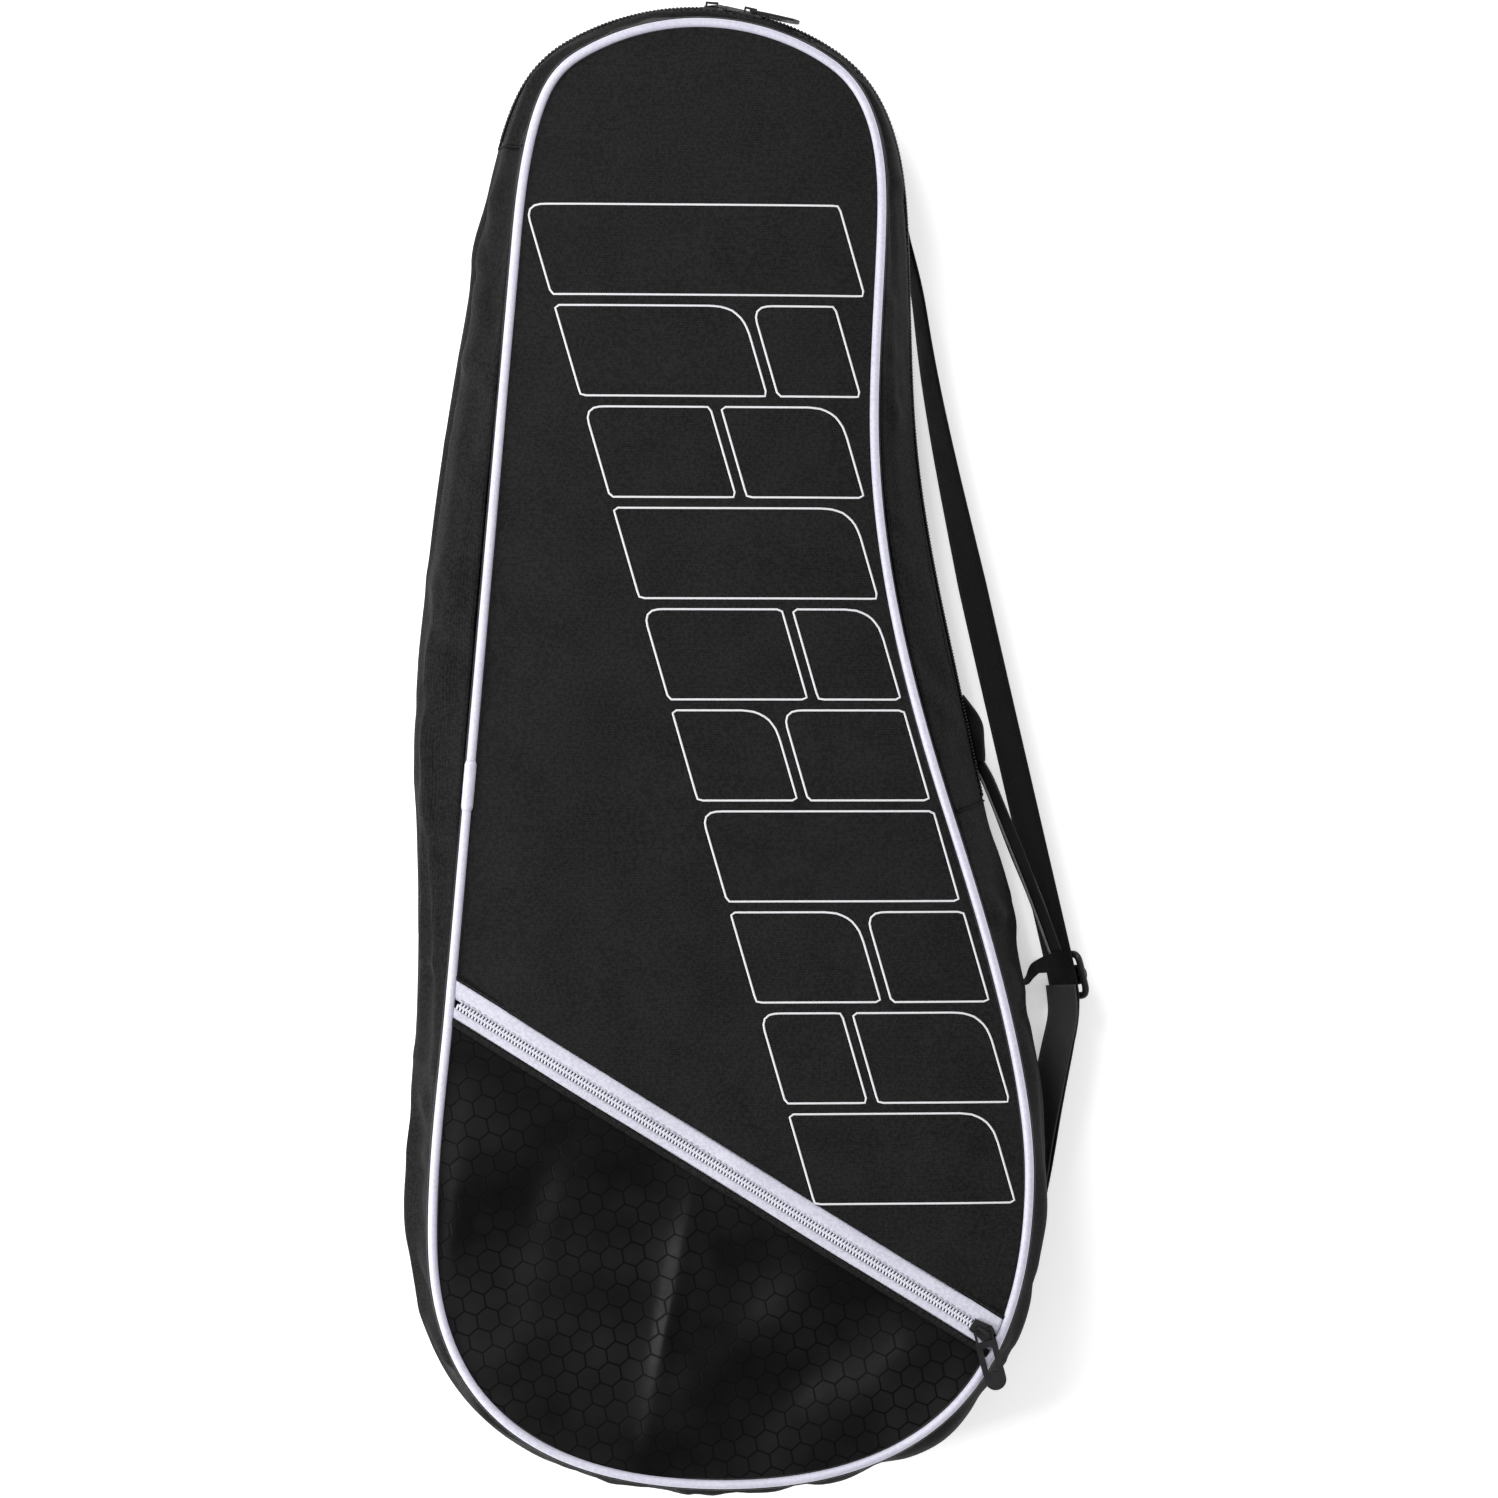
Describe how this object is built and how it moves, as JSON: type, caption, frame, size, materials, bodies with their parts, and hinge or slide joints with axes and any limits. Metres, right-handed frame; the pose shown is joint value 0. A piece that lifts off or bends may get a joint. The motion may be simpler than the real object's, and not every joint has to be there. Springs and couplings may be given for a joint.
{
  "type": "paddle case",
  "caption": "Soft padded racket and paddle case with a wide head end, zipped gusset, slanted front pocket with a contrast zip, piping and a side shoulder strap with a tri-glide.",
  "frame": {"origin": "on the flat back face, in the middle of the case's length and under its front panel's middle", "axes": "+X towards the shoulder strap's side, +Y along the case towards the handle end, +Z out of the front panel"},
  "size_m": [0.3489, 0.7622, 0.0795],
  "materials": {
    "black_cloth": "matte twill polyester",
    "coated_cloth": "satin coated, embossed hexagons",
    "lining": "plain woven lining",
    "foam": "closed-cell foam",
    "white_piping": "satin coated piping",
    "white_tape": "woven zip tape",
    "grey_coil": "nylon zip coil",
    "black_coil": "nylon zip coil",
    "slider_metal": "semi-gloss enamel",
    "black_plastic": "satin moulded",
    "webbing": "ribbed woven webbing"
  },
  "bodies": {
    "root": {"back_panel": "black_cloth", "back_binding": "black_cloth", "left_gusset": "black_cloth", "head_gusset": "black_cloth", "right_gusset": "black_cloth", "zip_gusset_rear": "black_cloth", "main_tape_rear": "black_cloth", "front_panel": "black_cloth", "pocket_panel": "coated_cloth", "back_lining": "lining", "front_lining": "lining", "pocket_backing": "lining", "back_foam": "foam", "front_foam": "foam", "front_piping": "white_piping", "piping_join": "white_piping", "pocket_tape_upper": "white_tape", "pocket_tape_lower": "white_tape", "pocket_coil_upper": "grey_coil", "pocket_coil_lower": "grey_coil", "main_coil_rear": "black_coil", "strap_anchor_upper": "webbing", "strap_anchor_lower": "webbing", "strap_upper": "webbing", "strap_middle": "webbing", "strap_lower": "webbing", "strap_branch": "webbing", "strap_tail": "webbing", "side_loop": "webbing"},
    "flap": {"flap_panel": "black_cloth", "flap_foam": "foam", "flap_lining": "lining", "flap_piping": "white_piping", "zip_gusset_front": "black_cloth", "main_tape_front": "black_cloth", "main_coil_front": "black_coil"},
    "main_slider_a": {"main_slider_a": "slider_metal"},
    "main_pull_a": {"main_pull_a": "slider_metal"},
    "main_slider_b": {"main_slider_b": "slider_metal"},
    "main_pull_b": {"main_pull_b": "slider_metal"},
    "pocket_slider": {"pocket_slider": "slider_metal"},
    "pocket_pull": {"pocket_pull": "black_plastic"},
    "tri_glide": {"tri_glide": "black_plastic"}
  },
  "joints": [
    {"name": "flap_open", "type": "hinge", "parent": "root", "child": "flap", "pos_m": [-0.1055, 0.306, 0.076], "axis": [0.5357, -0.8444, 0], "range_deg": [0, 70]},
    {"name": "main_slider_a_run", "type": "hinge", "parent": "root", "child": "main_slider_a", "pos_m": [-0.017, 0.2495, 0.038], "axis": [0, 0, 1], "range_deg": [0, 34]},
    {"name": "main_slider_b_run", "type": "hinge", "parent": "root", "child": "main_slider_b", "pos_m": [-0.017, 0.2495, 0.038], "axis": [0, 0, -1], "range_deg": [0, 20]},
    {"name": "main_pull_a_flip", "type": "hinge", "parent": "main_slider_a", "child": "main_pull_a", "pos_m": [-0.00914, 0.38188, 0.038], "axis": [0.6808, -0.0404, 0.7314], "range_deg": [0, 140]},
    {"name": "main_pull_b_flip", "type": "hinge", "parent": "main_slider_b", "child": "main_pull_b", "pos_m": [0.01057, 0.37922, 0.038], "axis": [0, 0, 1], "range_deg": [0, 140]},
    {"name": "pocket_slider_run", "type": "slide", "parent": "root", "child": "pocket_slider", "axis": [-0.848, 0.5299, 0], "range_m": [0, 0.298]},
    {"name": "pocket_pull_flip", "type": "hinge", "parent": "pocket_slider", "child": "pocket_pull", "pos_m": [0.12545, -0.29299, 0.0774], "axis": [-0.9659, -0.2588, 0], "range_deg": [0, 140]},
    {"name": "tri_glide_slide", "type": "slide", "parent": "root", "child": "tri_glide", "axis": [-0.227, 0.9739, 0], "range_m": [0, 0.11]}
  ]
}
